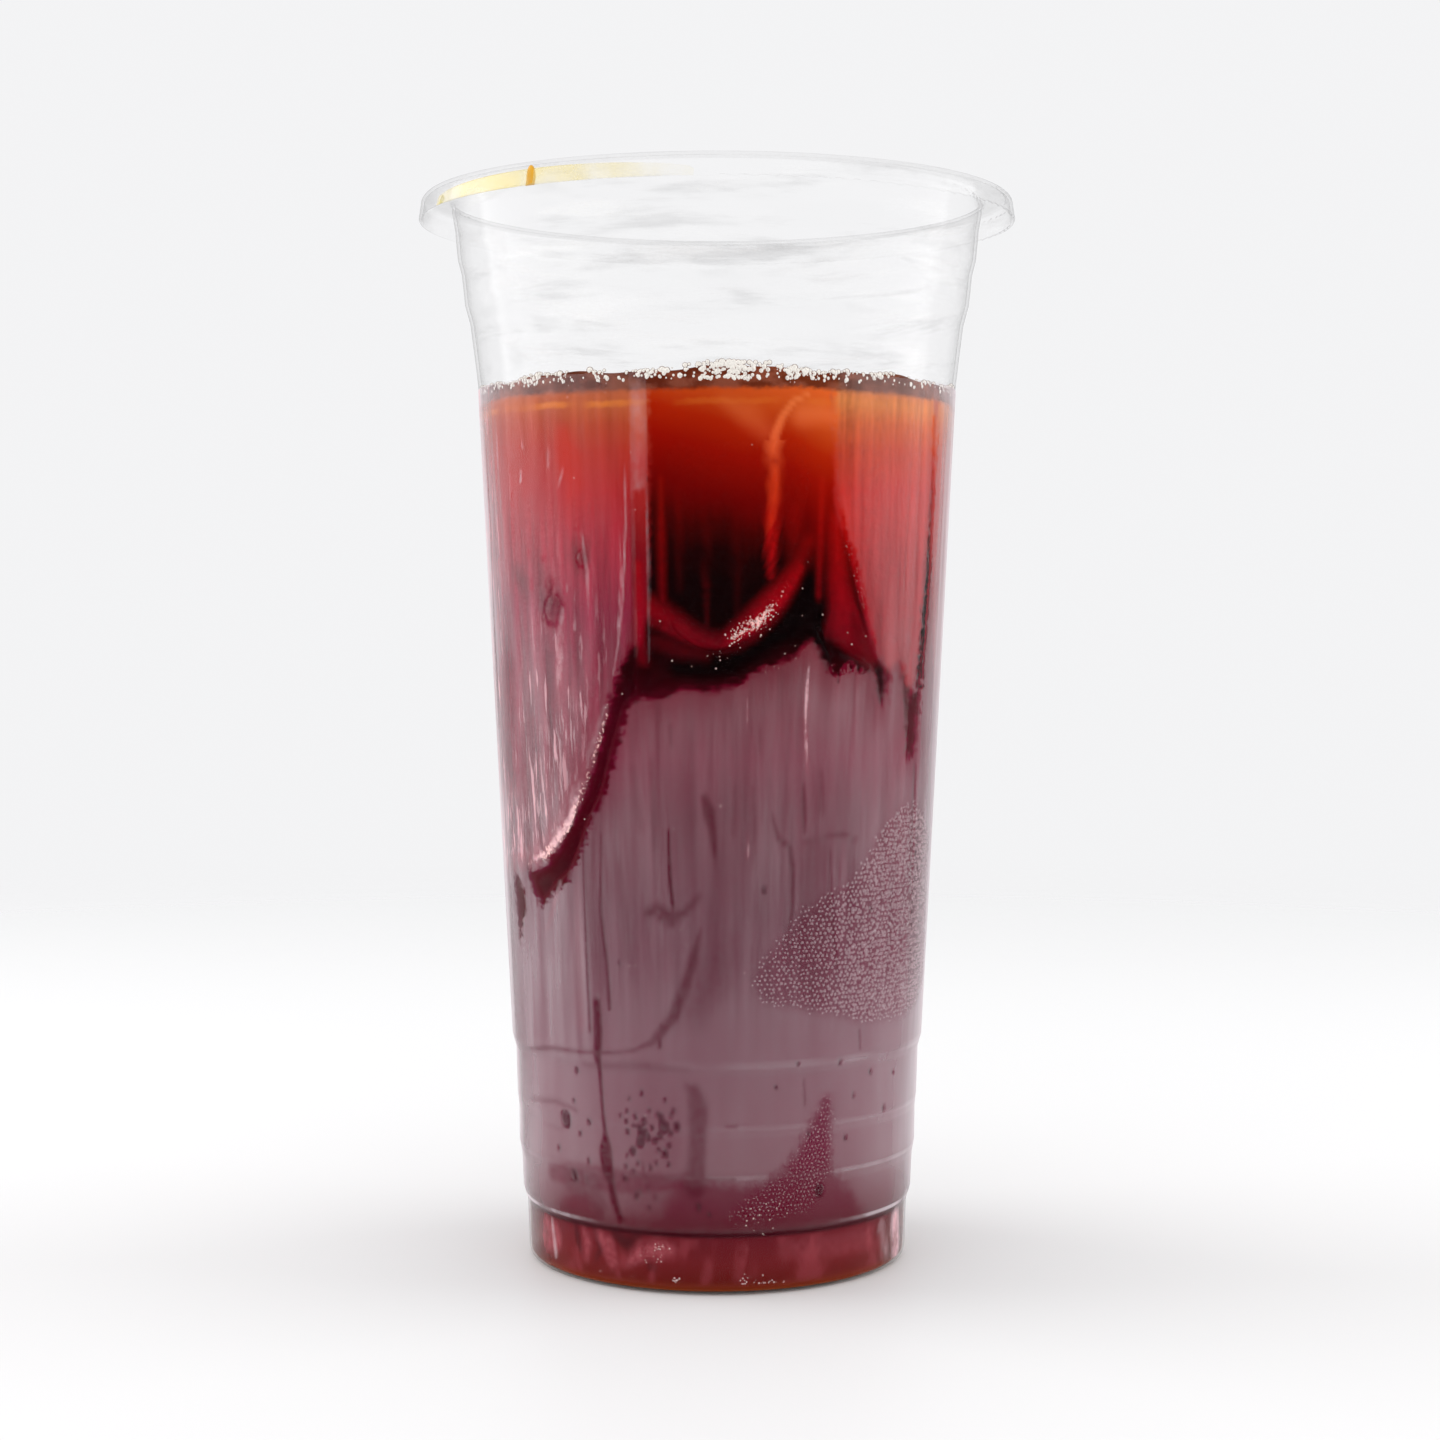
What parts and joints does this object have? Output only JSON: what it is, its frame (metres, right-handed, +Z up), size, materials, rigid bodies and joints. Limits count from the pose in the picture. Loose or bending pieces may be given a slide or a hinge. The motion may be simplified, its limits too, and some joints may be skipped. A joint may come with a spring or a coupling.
{
  "type": "iced americano in a clear cup",
  "caption": "Tall tapering clear plastic cold cup with a rolled lip, holding iced black coffee up to the start of its neck.",
  "frame": {"origin": "centre of the foot, on the table the cup stands on", "axes": "+Z up along the cup's axis; the cup is round, so X and Y are arbitrary: +X is to the right and +Y away from someone who faces the side with the amber drop in the lip, which is a little left of the middle"},
  "size_m": [0.098, 0.098, 0.1745],
  "materials": {
    "cup": "clear, glossy",
    "coffee": "clear dark red-brown liquid, glossy surface",
    "ice": "wet ice seen through coffee",
    "water": "clear drops, bubbles and mist",
    "stain": "thin amber coffee caught in the lip"
  },
  "bodies": {
    "root": {"cup": "cup", "coffee": "coffee"}
  },
  "joints": []
}
